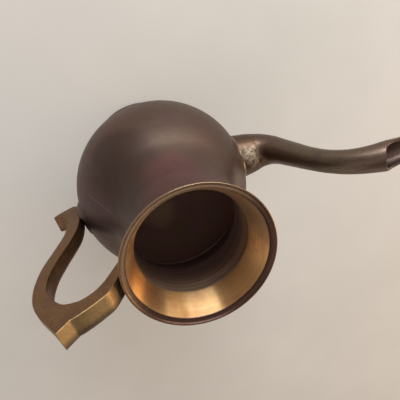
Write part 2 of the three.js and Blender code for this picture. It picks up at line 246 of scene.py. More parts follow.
def arc(radius, start, end, step=2.0):
    """Points [radius, height] on a circle round the bowl's centre, between two latitudes in degrees."""
    count = max(2, math.ceil(abs(end - start) / step) + 1)
    latitudes = np.radians(np.linspace(start, end, count))
    return [[radius * math.cos(a), BODY_Z + radius * math.sin(a)] for a in latitudes]


def bend(start, corner, end, steps=24):
    """A curve that leaves start and reaches end along the lines through corner."""
    a, b, c = (np.asarray(p, float) for p in (start, corner, end))
    return [list((1 - s) ** 2 * a + 2 * s * (1 - s) * b + s**2 * c) for s in np.linspace(0, 1, steps + 1)]


def neck_sweep(radius, neck, top):
    """The curve from a ball round the bowl's centre up into the neck."""
    angle = math.radians(SHOULDER_LATITUDE)
    start = [radius * math.cos(angle), BODY_Z + radius * math.sin(angle)]
    return bend(start, [neck, start[1] + (start[0] - neck) / math.tan(angle)], [neck, top])


def rounded(corners, steps=5):
    """Points along [radius, height, fillet] corners, each fillet an arc that touches both sides."""
    points = []
    last = len(corners) - 1
    for i, (x, y, fillet) in enumerate(corners):
        here = np.array([x, y], float)
        if not fillet or i in (0, last):
            points.append(here)
            continue
        before = np.array(corners[i - 1][:2]) - here
        after = np.array(corners[i + 1][:2]) - here
        before_length, after_length = np.linalg.norm(before), np.linalg.norm(after)
        before, after = before / before_length, after / after_length
        half = math.acos(float(np.clip(before @ after, -1, 1))) / 2
        if half > math.radians(88):
            points.append(here)
            continue
        reach = min(fillet / math.tan(half), 0.48 * before_length, 0.48 * after_length)
        inward = (before + after) / np.linalg.norm(before + after)
        centre = here + inward * reach / math.cos(half)
        start, end = here + before * reach - centre, here + after * reach - centre
        turn = math.pi - 2 * half
        for k in range(steps + 1):
            share = k / steps
            arm = math.sin((1 - share) * turn) * start + math.sin(share * turn) * end
            points.append(centre + arm / math.sin(turn))
    return points


def centripetal(points, steps):
    """A centripetal Catmull-Rom curve through the points, with that many steps between two of them."""
    p = np.asarray(points, float)
    p = np.vstack([2 * p[0] - p[1], p, 2 * p[-1] - p[-2]])
    out = []
    for i in range(1, len(p) - 2):
        a, b, c, d = p[i - 1 : i + 3]
        t1, t2, t3 = (max(np.sum((v - u) ** 2) ** 0.25, 1e-4) for u, v in ((a, b), (b, c), (c, d)))
        start = ((b - a) / t1 - (c - a) / (t1 + t2) + (c - b) / t2) * t2
        end = ((c - b) / t2 - (d - b) / (t2 + t3) + (d - c) / t3) * t2
        for k in range(steps):
            s = k / steps
            out.append(
                b
                + start * s
                + (-3 * b + 3 * c - 2 * start - end) * s**2
                + (2 * b - 2 * c + start + end) * s**3
            )
    out.append(p[-2])
    return np.array(out)


def turned(name, outline, materials, pick=None, closed=True, sides=SIDES, wobble=None):
    """A solid turned about the jug's axis. pick gives the material's index for the strip after a point."""
    outline = np.asarray(outline, float)
    angles = np.linspace(0, 2 * math.pi, sides, endpoint=False)
    points, rows = [], []
    for k, (radius, height) in enumerate(outline):
        if radius < 1e-6:
            rows.append([len(points)] * sides)
            points.append([AXIS, 0, height])
            continue
        rows.append(list(range(len(points), len(points) + sides)))
        for angle in angles:
            out = radius + (wobble(k, angle) if wobble else 0)
            points.append([AXIS + out * math.cos(angle), out * math.sin(angle), height])
    faces, picks = [], []
    count = len(outline)
    for k in range(count if closed else count - 1):
        lower, upper = rows[k], rows[(k + 1) % count]
        for j in range(sides):
            n = (j + 1) % sides
            faces.append(list(dict.fromkeys([lower[j], lower[n], upper[n], upper[j]])))
            picks.append(int(pick(k)) if pick else 0)
    return make(name, points, faces, materials, picks)


# Materials
# Patches painted on the body: painted reflections of the room's light and dark parts, mixed with the patina's
# own tints: [direction from the bowl's centre, full within, gone at, share, colour, seed]
REFLECTIONS_AND_TINTS = [
    [(-0.38, 0.65, 0.66), 20, 31, 0.75, (0.062, 0.038, 0.032), 21],
    [(-0.84, 0.44, 0.30), 12, 26, 0.7, (0.106, 0.062, 0.060), 22],
    [(-0.78, 0.22, 0.60), 8, 22, 0.7, (0.104, 0.064, 0.066), 23],
    [(-0.23, 0.97, 0.07), 6, 17, 0.6, (0.130, 0.064, 0.058), 24],
    [(0.20, 0.74, 0.64), 6, 20, 0.7, (0.086, 0.056, 0.040), 25],
    [(0.05, 0.45, 0.89), 6, 20, 0.8, (0.152, 0.066, 0.063), 26],
    [(0.62, 0.45, 0.64), 14, 30, 0.6, (0.104, 0.062, 0.048), 27],
    [(0.76, 0.03, 0.65), 2, 13, 0.7, (0.20, 0.160, 0.140), 28],
]
# A scratch, and a dark band of painted shade: [start, end, half width in degrees, share, colour]
STROKES = [
    [(-0.789, 0.436, 0.433), (-0.581, 0.251, 0.774), 0.35, 0.45, (0.24, 0.19, 0.18)],
    [(-0.932, 0.066, 0.356), (-0.607, 0.055, 0.793), 3.4, 0.6, (0.040, 0.025, 0.023)],
]


def add_node(tree, kind, inputs=(), **settings):
    """A node with its settings, and its inputs given by name or number as values or sockets."""
    node = tree.nodes.new(kind)
    for key, value in settings.items():
        setattr(node, key, value)
    for key, value in dict(inputs).items():
        if isinstance(value, bpy.types.NodeSocket):
            tree.links.new(value, node.inputs[key])
        else:
            node.inputs[key].default_value = value
    return node


class Finish:
    """A procedural metal: colours mixed by patterns in the jug's frame, with roughness and bump."""

    def __init__(self, name, metallic, colour):
        self.material = bpy.data.materials.new(name)
        self.material.use_nodes = True
        self.tree = self.material.node_tree
        self.tree.nodes.clear()
        self.shader = self.add("ShaderNodeBsdfPrincipled")
        self.shader.inputs["Metallic"].default_value = metallic
        output = self.add("ShaderNodeOutputMaterial")
        self.tree.links.new(self.shader.outputs[0], output.inputs[0])
        coordinates = self.add("ShaderNodeTexCoord")
        self.place = coordinates.outputs["Object"]
        self.normal = coordinates.outputs["Normal"]
        self.colour = self.add("ShaderNodeRGB").outputs[0]
        self.colour.default_value = (*colour, 1)
        self.height = None

    def add(self, kind, inputs=(), **settings):
        """A node in this material."""
        return add_node(self.tree, kind, inputs, **settings)

    def calc(self, operation, a, b=0.0):
        """One math node."""
        return self.add("ShaderNodeMath", {0: a, 1: b}, operation=operation).outputs[0]

    def times(self, a, b):
        """The product of two values."""
        return self.calc("MULTIPLY", a, b)

    def plus(self, a, b):
        """The sum of two values."""
        return self.calc("ADD", a, b)

    def vector(self, operation, a, b=(0, 0, 0), result="Vector"):
        """One vector math node."""
        return self.add("ShaderNodeVectorMath", {0: a, 1: b}, operation=operation).outputs[result]

    def split(self, vector):
        """The vector's x, y and z."""
        return self.add("ShaderNodeSeparateXYZ", {0: vector}).outputs

    def ramp(self, value, low, high, to_low=0.0, to_high=1.0):
        """The value's stretch from low to high taken smoothly to another stretch."""
        inputs = {0: value, 1: low, 2: high, 3: to_low, 4: to_high}
        return self.add("ShaderNodeMapRange", inputs, interpolation_type="SMOOTHSTEP").outputs[0]

    def noise(self, per_mm, detail=4.0, distortion=0.0, seed=0.0):
        """Noise between 0 and 1, about 0.5, with per_mm features in a millimetre along all or each axis."""
        scale = tuple(np.broadcast_to(np.asarray(per_mm, float), 3) / MM)
        place = self.vector("ADD", self.vector("MULTIPLY", self.place, scale), (seed, 2.7 * seed, 4.1 * seed))
        values = {"Vector": place, "Scale": 1.0, "Detail": detail, "Roughness": 0.6, "Distortion": distortion}
        return self.add("ShaderNodeTexNoise", values).outputs[0]

    def ragged(self, value, per_mm, depth, seed):
        """The value moved up and down by noise, at most by the depth."""
        bumpy = self.calc("SUBTRACT", self.noise(per_mm, seed=seed), 0.5)
        return self.plus(value, self.times(bumpy, 2 * depth))

    def spot(self, middle, radius, seed):
        """1 round a point in the jug's frame, falling to 0 at a ragged radius, in millimetres."""
        distance = self.vector("DISTANCE", self.place, tuple(np.asarray(middle, float) * MM), "Value")
        edge = self.ragged(distance, 1.2 / radius, 0.5 * radius * MM, seed)
        return self.ramp(edge, radius * MM, 0.35 * radius * MM)

    def along(self, direction):
        """How far the direction from the bowl's centre agrees with the given unit one, from -1 to 1."""
        unit = self.vector("NORMALIZE", self.vector("SUBTRACT", self.place, tuple(CENTRE * MM)))
        return self.vector("DOT_PRODUCT", unit, tuple(direction), "Value")

    def facing(self, direction, inner, outer, ragged=6.0, seed=0.0):
        """1 within inner degrees of a direction from the bowl's centre, falling to 0 at outer degrees."""
        angle = self.calc("ARCCOSINE", self.along(np.asarray(direction, float) / np.linalg.norm(direction)))
        edge = self.ragged(angle, 0.12, math.radians(ragged), seed)
        return self.ramp(edge, math.radians(outer), math.radians(inner))

    def stroke(self, start, end, half_width):
        """1 between two directions from the bowl's centre, within half_width degrees of the shortest way."""
        start, end = (np.asarray(v, float) / np.linalg.norm(v) for v in (start, end))
        across = np.cross(start, end)
        across = across / np.linalg.norm(across)
        half = math.degrees(math.acos(float(np.clip(start @ end, -1, 1)))) / 2
        beside = self.calc("ABSOLUTE", self.along(across))
        line = self.ramp(beside, math.radians(half_width), 0.3 * math.radians(half_width))
        return self.times(line, self.facing(start + end, 0.8 * half, half, ragged=0.5))

    def from_axis(self):
        """Distance from the jug's axis, height, and the direction round it as two numbers."""
        x, y, z = self.split(self.vector("SUBTRACT", self.place, (AXIS * MM, 0, 0)))
        radius = self.calc("SQRT", self.plus(self.times(x, x), self.times(y, y)))
        return radius, z, self.calc("DIVIDE", x, radius), self.calc("DIVIDE", y, radius)

    def towards(self, azimuth):
        """How far the direction round the axis agrees with an azimuth in degrees, from -1 to 1."""
        _, _, cosine, sine = self.from_axis()
        along_x = self.times(cosine, math.cos(math.radians(azimuth)))
        along_y = self.times(sine, math.sin(math.radians(azimuth)))
        return self.plus(along_x, along_y)

    def turning(self, per_mm, detail=3.0, seed=0.0):
        """Fine rings left by turning: noise along the profile that changes slowly round the axis."""
        radius, z, cosine, sine = self.from_axis()
        profile = self.times(self.plus(radius, z), per_mm / MM)
        round_weight = 0.6
        inputs = {
            0: self.plus(profile, seed),
            1: self.times(cosine, round_weight),
            2: self.times(sine, round_weight),
        }
        vector = self.add("ShaderNodeCombineXYZ", inputs).outputs[0]
        values = {"Vector": vector, "Scale": 1.0, "Detail": detail, "Roughness": 0.6}
        return self.add("ShaderNodeTexNoise", values).outputs[0]

    def paint(self, share, colour):
        """Lays a colour over what is there, by a share from 0 to 1."""
        inputs = {0: share, 6: self.colour, 7: (*colour, 1)}
        self.colour = self.add("ShaderNodeMix", inputs, data_type="RGBA").outputs[2]

    def clouds(self, per_mm, seed, low, high, share, colour, detail=4):
        """Lays a colour over the patches where noise goes from low to high."""
        self.paint(self.ramp(self.noise(per_mm, detail, seed=seed), low, high, 0, share), colour)

    def shade(self, pattern, low, high, darkest, lightest):
        """Multiplies the colour by a pattern taken to another stretch."""
        factor = self.ramp(pattern, low, high, darkest, lightest)
        grey = self.add("ShaderNodeCombineColor", {0: factor, 1: factor, 2: factor}).outputs[0]
        inputs = {0: 1.0, 6: self.colour, 7: grey}
        self.colour = self.add("ShaderNodeMix", inputs, data_type="RGBA", blend_type="MULTIPLY").outputs[2]

    def raise_by(self, value, depth):
        """Adds a height pattern, with its full depth in millimetres."""
        part = self.times(value, depth * MM)
        self.height = part if self.height is None else self.plus(self.height, part)

    def turned_marks(self, depth, brushed=0.0):
        """Fine rings left by the lathe, in colour and relief, with highlights drawn out along them."""
        self.shade(self.turning(3.0), 0.3, 0.7, 0.88, 1.08)
        self.raise_by(self.turning(2.6, seed=3), depth)
        self.raise_by(self.turning(0.9, seed=8, detail=1), 1.6 * depth)
        self.shader.inputs["Anisotropic"].default_value = brushed
        self.shader.inputs["Anisotropic Rotation"].default_value = 0.25 if brushed else 0.0

    def done(self, smoothest, roughest=None, pattern=None):
        """Sets the roughness, even or by a pattern, and links the colour and bump to the shader."""
        self.tree.links.new(self.colour, self.shader.inputs["Base Color"])
        self.shader.inputs["Roughness"].default_value = smoothest
        if pattern is not None:
            roughness = self.ramp(pattern, 0.3, 0.7, smoothest, roughest)
            self.tree.links.new(roughness, self.shader.inputs["Roughness"])
        if self.height is not None:
            bump = self.add("ShaderNodeBump", {"Strength": 1.0, "Distance": 1.0, "Height": self.height})
            self.tree.links.new(bump.outputs[0], self.shader.inputs["Normal"])
        return self.material


def patina_and_reflections_finish():
    """Dark brown patina on the body: purple, olive and reddish clouds, painted reflections of the room mixed
    with the patina's tints, a dark band of painted shade, hairline scratches and fine pits.
    """
    f = Finish("patina", 0.9, (0.104, 0.063, 0.047))
    f.clouds(0.045, 3, 0.42, 0.62, 0.6, (0.112, 0.072, 0.048), detail=3)
    f.clouds(0.05, 9, 0.50, 0.66, 0.6, (0.104, 0.058, 0.054), detail=3)
    # Painted reflections of the room's light and dark parts, mixed with the patina's own tints.
    for direction, inner, outer, share, colour, seed in REFLECTIONS_AND_TINTS:
        f.paint(f.times(f.facing(direction, inner, outer, seed=seed), share), colour)
    f.clouds(0.16, 5, 0.50, 0.78, 0.3, (0.075, 0.048, 0.040))
    # A scratch, and a dark band of painted shade.
    for start, end, width, share, colour in STROKES:
        f.paint(f.times(f.stroke(start, end, width), share), colour)
    f.shade(f.noise(0.9, seed=2), 0.3, 0.7, 0.94, 1.05)
    scratches = f.noise((0.25, 4.0, 0.5), detail=2, distortion=0.6, seed=7)
    f.paint(f.times(f.ramp(scratches, 0.68, 0.74), 0.15), (0.20, 0.15, 0.12))
    f.raise_by(f.noise(0.12, detail=2), 0.04)
    f.raise_by(f.noise(3.0, detail=3), 0.002)
    return f.done(0.46, 0.54, f.noise(0.3, seed=1))


def inside_finish():
    """The inside: dull maroon, with painted shade under the neck and a pale olive patch of painted light low
    on the far side.
    """
    f = Finish("inside", 0.3, (0.44, 0.27, 0.245))
    f.shader.inputs["Specular IOR Level"].default_value = 0.2
    f.clouds(0.12, 4, 0.45, 0.7, 1, (0.44, 0.31, 0.20))
    # A pale olive patch of painted light, low on the far side.
    painted_light_patch = f.facing((-0.17, -0.67, -0.72), 8, 20, seed=31)
    f.paint(f.times(painted_light_patch, 0.8), (0.72, 0.52, 0.33))
    # Painted shade under the neck: darker towards the top.
    z = f.split(f.place)[2]
    f.paint(f.ramp(z, (SPIGOT_Z - 28) * MM, (SPIGOT_Z - 13) * MM), (0.12, 0.075, 0.068))
    f.raise_by(f.noise(0.8), 0.05)
    return f.done(0.45, 0.6, f.noise(0.5))


def polished_finish():
    """The flare: bright turned brass with duller clouds, browner towards the spout."""
    f = Finish("polished", 1.0, (0.62, 0.375, 0.165))
    f.clouds(0.09, 6, 0.42, 0.64, 0.8, (0.47, 0.22, 0.100))
    f.paint(f.ramp(f.towards(35), 0.45, 0.95, 0, 0.8), (0.33, 0.20, 0.115))
    f.turned_marks(0.006, brushed=1.0)
    return f.done(0.33, 0.40, f.turning(2.0, seed=5))


def lip_finish():
    """The lip's face: brown, with a ring of painted shade in its inner groove that is darkest on the right.
    """
    f = Finish("lip", 0.9, (0.32, 0.205, 0.120))
    radius = f.from_axis()[0]
    # Painted shade in the inner groove, darkest on the right.
    inner = f.ramp(radius, (RIM_R - 0.35) * MM, (RIM_R - 0.6) * MM)
    f.paint(f.times(inner, f.ramp(f.towards(-65), -0.6, 0.2, 0.35, 1.0)), (0.085, 0.044, 0.031))
    f.turned_marks(0.006)
    return f.done(0.24, 0.34, f.noise(0.6))


def throat_finish():
    """Below the flare: tarnished brown, with painted shade that darkens it with depth, turned in fine rings.
    """
    f = Finish("throat", 0.7, (0.42, 0.265, 0.165))
    f.clouds(0.15, 2, 0.45, 0.7, 1, (0.36, 0.220, 0.165))
    # Painted shade, darker with depth.
    z = f.split(f.place)[2]
    f.paint(f.ramp(z, (THROAT_Z - 0.5) * MM, (THROAT_Z - 14) * MM), (0.25, 0.155, 0.135))
    f.shade(f.turning(1.1, seed=4), 0.38, 0.62, 0.72, 1.12)
    f.turned_marks(0.02, brushed=0.6)
    return f.done(0.42)


def spout_finish():
    """The spout: reddish brown near the bowl, olive in its middle, with a pitted bright patch at its root."""
    f = Finish("spout", 0.9, (0.128, 0.083, 0.060))
    out = f.calc("SUBTRACT", f.split(f.place)[0], (AXIS + BODY_R) * MM)
    olive = f.times(f.ramp(out, 14 * MM, 18 * MM), f.ramp(out, 32 * MM, 24 * MM))
    f.paint(f.times(olive, 0.8), (0.122, 0.094, 0.062))
    f.paint(f.ramp(out, 14 * MM, 7 * MM, 0, 0.8), (0.092, 0.050, 0.030))
    f.clouds(0.08, 8, 0.50, 0.66, 0.6, (0.105, 0.066, 0.060), detail=3)
    brightened = f.spot(CENTRE + np.array([BODY_R + 2.6, 1.4, 8.2]), 6.0, seed=3)
    pits = f.ramp(f.noise(1.0, seed=11), 0.36, 0.52)
    f.paint(f.times(brightened, pits), (0.70, 0.55, 0.40))
    f.shade(f.noise(1.0, seed=5), 0.3, 0.7, 0.88, 1.10)
    f.raise_by(f.noise(0.3, detail=3), 0.05)
    f.raise_by(f.times(f.calc("SUBTRACT", f.noise(1.4), 0.5), brightened), 0.06)
    return f.done(0.34, 0.44, f.noise(0.4, detail=3, seed=6))


def worn_and_shaded_finish():
    """The handle: golden brown, with painted light on the upward faces of the thumb piece and painted shade
    on its far side.
    """
    f = Finish("worn", 0.95, (0.190, 0.100, 0.045))
    f.clouds(0.10, 4, 0.42, 0.66, 1, (0.160, 0.080, 0.043))
    f.clouds(0.22, 9, 0.52, 0.72, 0.6, (0.190, 0.125, 0.050))
    _, y, z = f.split(f.place)
    # Painted light on the upward faces of the thumb piece.
    on_top = f.ramp(f.split(f.normal)[2], 0.3, 0.7)
    brightened = f.times(on_top, f.ramp(z, (RIM_Z - 18) * MM, (RIM_Z - 10) * MM))
    f.paint(f.times(brightened, 0.85), (0.36, 0.235, 0.105))
    # Painted shade on the far side.
    f.paint(f.times(f.ramp(y, -0.2 * MM, -2.6 * MM), 0.8), (0.085, 0.055, 0.042))
    f.shade(f.noise(1.4, seed=3), 0.3, 0.7, 0.86, 1.1)
    f.raise_by(f.noise(0.35, detail=3), 0.06)
    f.raise_by(f.noise((0.5, 6.0, 6.0), detail=2, seed=2), 0.006)
    return f.done(0.38, 0.52, f.noise(0.5, detail=3, seed=1))


def braze_finish():
    """Braze: pale brass, lumpy and pitted."""
    f = Finish("braze", 0.95, (0.26, 0.20, 0.145))
    f.clouds(0.5, 2, 0.45, 0.65, 1, (0.15, 0.105, 0.080))
    f.raise_by(f.noise(1.2), 0.12)
    return f.done(0.3, 0.5, f.noise(1.0))


PATINA_AND_REFLECTIONS = patina_and_reflections_finish()
INSIDE = inside_finish()
POLISHED = polished_finish()
LIP = lip_finish()
THROAT = throat_finish()
SPOUT = spout_finish()
WORN_AND_SHADED = worn_and_shaded_finish()
BRAZE = braze_finish()

# Bowl, seam and shoulder
HALF_SEAM = math.degrees(SEAM_WIDTH / 2 / BODY_R)
LINE = math.degrees(SEAM_LINE / BODY_R)


def spout_curve():
    """The spout's middle line: [x, outer radius, z] at even lengths, and the length at each."""
    given = [[AXIS + BODY_R + out, radius, BODY_Z + up] for out, up, radius in SPOUT_LINE]
    curve = centripetal(given, 24)
    steps = np.linalg.norm(np.diff(curve[:, [0, 2]], axis=0), axis=1)
    length = np.concatenate([[0], np.cumsum(steps)])
    even = np.linspace(0, length[-1], 600)
    return np.stack([np.interp(even, length, curve[:, k]) for k in range(3)], 1), even


SPOUT_POINTS, SPOUT_LENGTH = spout_curve()


def spout_at(length):
    """Middle, radius and direction of the spout at a length along it."""
    x, radius, z = (np.interp(length, SPOUT_LENGTH, SPOUT_POINTS[:, k]) for k in range(3))
    reach = 0.4
    before = [np.interp(length - reach, SPOUT_LENGTH, SPOUT_POINTS[:, k]) for k in (0, 2)]
    after = [np.interp(length + reach, SPOUT_LENGTH, SPOUT_POINTS[:, k]) for k in (0, 2)]
    along = np.array([after[0] - before[0], 0, after[1] - before[1]])
    return np.array([x, 0, z]), radius, along / np.linalg.norm(along)


def on_spout(length, angle, side, inset=0.0):
    """A point on the spout: angle 0 is its crest and pi its underside, side is +1 or -1."""
    middle, radius, along = spout_at(length)
    up = np.array([-along[2], 0, along[0]])
    return middle + (radius - inset) * (math.cos(angle) * up + math.sin(angle) * side * LEFT)


def root_length(angle, side, inset=0.0):
    """Length along the spout at which its surface leaves the bowl."""
    lengths = np.linspace(0, SPOUT_ROOT_END, 120)
    leaves = BODY_R + SEAM_LINE
    distance = [np.linalg.norm(on_spout(l, angle, side, inset) - CENTRE) - leaves for l in lengths]
    outside = next(k for k, d in enumerate(distance) if d > 0)
    if outside == 0:
        return 0.0
    a, b = distance[outside - 1], distance[outside]
    return lengths[outside - 1] + (lengths[outside] - lengths[outside - 1]) * a / (a - b)


def bowl():
    """The bowl, with the hole behind the spout."""
    top = SEAM_LATITUDE - HALF_SEAM - LINE
    outside = arc(BODY_R, -90, top)
    inner = arc(BODY_R - WALL, top, -90)
    outside[0][0] = inner[-1][0] = 0
    obj = turned("jug_bowl", outside + inner, [PATINA_AND_REFLECTIONS, INSIDE], lambda k: k >= len(outside) - 1, closed=False)
    start, _, along = spout_at(0.0)
    rings = [start + along * reach for reach in (-2.0, 3 * SPOUT_HOLE_R)]
    up = np.array([-along[2], 0, along[0]])
    count = 96
    points = []
    for ring in rings:
        for k in range(count):
            angle = 2 * math.pi * k / count
            points.append(ring + SPOUT_HOLE_R * (math.cos(angle) * up + math.sin(angle) * LEFT))
    faces = strips(2, count) + [list(range(count))[::-1], list(range(count, 2 * count))]
    apply_boolean(obj, [make("hole_cutter", points, faces, [INSIDE])])
    smooth(obj.data)
    return dress(obj, "patina", "bowl")


def seam():
    """The brazed seam, ground flush with the body."""
    low, high = SEAM_LATITUDE - HALF_SEAM, SEAM_LATITUDE + HALF_SEAM
    outline = arc(BODY_R, low, high, 0.5) + arc(BODY_R - WALL, high, low, 0.5)
    return dress(turned("jug_seam", outline, [PATINA_AND_REFLECTIONS, INSIDE], lambda k: k >= 3), "patina", "seam_braze")


def shoulder():
    """The shoulder with its neck, and the lap inside the bowl."""
    inner = BODY_R - WALL
    lap = inner - FILM
    edge = SEAM_LATITUDE + HALF_SEAM + LINE
    lap_bottom = SEAM_LATITUDE - math.degrees(LAP_DEPTH / lap)
    outer = arc(BODY_R, edge, SHOULDER_LATITUDE) + neck_sweep(BODY_R, NECK_R, NECK_Z)[1:]
    bore = neck_sweep(inner, BORE_R, SPIGOT_Z - FILM)[::-1]
    inside = [[BORE_R, NECK_Z]] + bore + arc(inner, SHOULDER_LATITUDE, edge + 2 * HALF_SEAM)[1:]
    inside += arc(lap - LAP_WALL, edge + HALF_SEAM, lap_bottom) + arc(lap, lap_bottom, edge)
    obj = turned("jug_shoulder", outer + inside, [PATINA_AND_REFLECTIONS, INSIDE], lambda k: k >= len(outer) - 1)
    return dress(obj, "patina", "shoulder")


# Mouth and foot
JOINT_TOP = NECK_Z + 2 * SEAM_LINE + JOINT_WIDTH
MOUTH_START = NECK_Z + MOUTH_STRAIGHT
MOUTH_SIDE = [[NECK_R, JOINT_TOP]] + bend(
    [NECK_R, MOUTH_START], [NECK_R, (MOUTH_START + LIP_FOOT) / 2], [RIM_R - LIP_WIDTH / 2, LIP_FOOT]
)


def mouth():
    """The mouth: a spigot in the neck, a throat with turning ridges, a flare, and a lip with a groove."""
    inner_r, inner_z = RIM_R - LIP_WIDTH, RIM_Z - LIP_DROP
    flare_top = [inner_r - 0.15, inner_z - 0.28]
    lip = rounded(
        [
            [*MOUTH_SIDE[-2], 0],
            [*MOUTH_SIDE[-1], 3.0],
            [RIM_R, RIM_Z - LIP_EDGE, 0.6],
            [RIM_R, RIM_Z, 0.3],
            [RIM_R - 0.62, RIM_Z - 0.1, 0.12],
            [RIM_R - 1.0, RIM_Z - 0.62, 0.5],
            [inner_r + 0.35, inner_z + 0.02, 0.2],
            [inner_r, inner_z - 0.05, 0.1],
            [*flare_top, 0],
        ],
        8,
    )
    flare_corner = [THROAT_R + FLARE_BEND[0], THROAT_Z + FLARE_BEND[1]]
    flare = bend(flare_top, flare_corner, [THROAT_R, THROAT_Z])[1:]
    below = THROAT_R + 0.1
    throat = rounded([[*flare[-1], 0], [THROAT_R - 0.02, THROAT_Z - 0.35, 0.8], [below, THROAT_Z - 1.6, 0]])
    steps, ripples, ripple_height = 90, 13, 0.04
    top, low = THROAT_Z - 1.7, SPIGOT_Z + 0.4
    spigot = BORE_R - SEAM_LINE - SPIGOT_WALL
    ridges = []
    for k in range(1, steps):
        share = k / steps
        ripple = ripple_height * math.sin(ripples * 2 * math.pi * share) * math.sin(math.pi * share)
        ridges.append([below + (spigot - below) * share + ripple, top + (low - top) * share])
    end = rounded(
        [
            [spigot, low, 0],
            [spigot, SPIGOT_Z, 0.15],
            [BORE_R - SEAM_LINE, SPIGOT_Z, 0.15],
            [BORE_R - SEAM_LINE, JOINT_TOP, 0.1],
            [NECK_R, JOINT_TOP, 0],
        ]
    )
    lip, throat, end = ([list(p) for p in part] for part in (lip, throat[1:], end[:-1]))
    outline = MOUTH_SIDE[:-2] + lip + flare + throat + ridges + end
    edge = next(k for k, point in enumerate(outline) if point[0] > RIM_R - 0.02)
    starts = np.cumsum([edge, len(MOUTH_SIDE) - 3 + len(lip) - edge, len(flare), len(throat) + len(ridges)])
    materials = [PATINA_AND_REFLECTIONS, LIP, POLISHED, THROAT, INSIDE]
    obj = turned("jug_mouth", outline, materials, lambda k: np.searchsorted(starts, k, "right"))
    return dress(obj, "polished", "mouth")


def mouth_seam():
    """The brazed seam between neck and mouth, ground flush with both."""
    low, high, inner = NECK_Z + SEAM_LINE, JOINT_TOP - SEAM_LINE, BORE_R
    outline = [[inner, low], [NECK_R, low], [NECK_R, (low + high) / 2], [NECK_R, high], [inner, high]]
    return dress(turned("mouth_seam", outline, [PATINA_AND_REFLECTIONS]), "patina", "mouth_braze")


def lumps(k, angle):
    """Small lumps on a bead of braze, in millimetres, that change round the axis and across the bead."""
    place = Vector((3 * math.cos(angle), 3 * math.sin(angle), 5 + 0.35 * k))
    return 0.06 * noise.fractal(place * 1.7, 1.0, 2.0, 3)


def under_bowl(distance):
    """Height of the bowl's underside at a distance from the axis."""
    return BODY_Z - math.sqrt((BODY_R + FIT) ** 2 - distance**2)


def foot():
    """The foot: a flat ring to stand on and a wall that sweeps in to the bowl."""

    def sweep(base, waist, low, high):
        angles = np.linspace(0, math.pi / 2, 26)
        return [[base - (base - waist) * math.sin(a), high - (high - low) * math.cos(a)] for a in angles]

    waist_in = FOOT_WAIST - FOOT_WALL
    outer = sweep(FOOT_R - FOOT_RIM_STEP, FOOT_WAIST, FOOT_RIM_HEIGHT + 0.6, under_bowl(FOOT_WAIST))
    inner = sweep(FOOT_R - FOOT_RIM_WIDTH, waist_in, FOOT_RIM_HEIGHT / 2, under_bowl(waist_in))
    rim = rounded(
        [
            [FOOT_R - FOOT_RIM_WIDTH, 0.6, 0],
            [FOOT_R - FOOT_RIM_WIDTH, 0, 0.2],
            [FOOT_R, 0, 0.25],
            [FOOT_R, FOOT_RIM_HEIGHT, 0.5],
            [FOOT_R - FOOT_RIM_STEP, FOOT_RIM_HEIGHT + 0.25, 0.15],
            [FOOT_R - FOOT_RIM_STEP, FOOT_RIM_HEIGHT + 0.6, 0],
        ]
    )
    outline = [list(p) for p in rim[:-1]] + outer + inner[::-1]
    return dress(turned("jug_foot", outline, [PATINA_AND_REFLECTIONS]), "patina", "foot")


def foot_bead():
    """Braze in the corner between foot and bowl."""
    inner, outer = FOOT_WAIST + FIT, FOOT_WAIST + 1.7
    outline = [
        [inner, under_bowl(inner)],
        [inner + 0.1, under_bowl(inner) - 1.6],
        [inner + 0.35, under_bowl(inner) - 1.2],
        [inner + 0.8, under_bowl(inner) - 0.35],
        [outer - 0.3, under_bowl(outer) - 0.25],
        [outer, under_bowl(outer) - 0.02],
    ]
    return dress(turned("foot_bead", outline, [BRAZE], wobble=lumps), "braze", "foot_braze")


# Spout
def lip_cut_height(x):
    """Height of the open lip's cut at a distance along x, or None before the cut begins."""
    start = AXIS + BODY_R + LIP_CUT_START
    if x < start:
        return None
    crest = BODY_Z + SPOUT_LINE[-1][1] + max(radius for _, _, radius in SPOUT_LINE[-3:])
    shares = np.linspace(0, 1, 40)
    reached = start + 2 * LIP_CUT_LEAN * shares * (1 - shares) + LIP_CUT_REACH * shares**2
    share = np.interp(x, reached, shares)
    return crest - LIP_CUT_DEPTH * (2 * share * (1 - share) + share**2)


def lip_angle(length, inset=0.0):
    """Angle from the crest down to the lip's edge, 0 where the spout is whole."""
    middle, radius, along = spout_at(length)
    height = lip_cut_height(middle[0])
    if height is None:
        return 0.0
    share = (height - middle[2]) / ((radius - inset) * along[0])
    return math.acos(float(np.clip(share, -1, 1)))


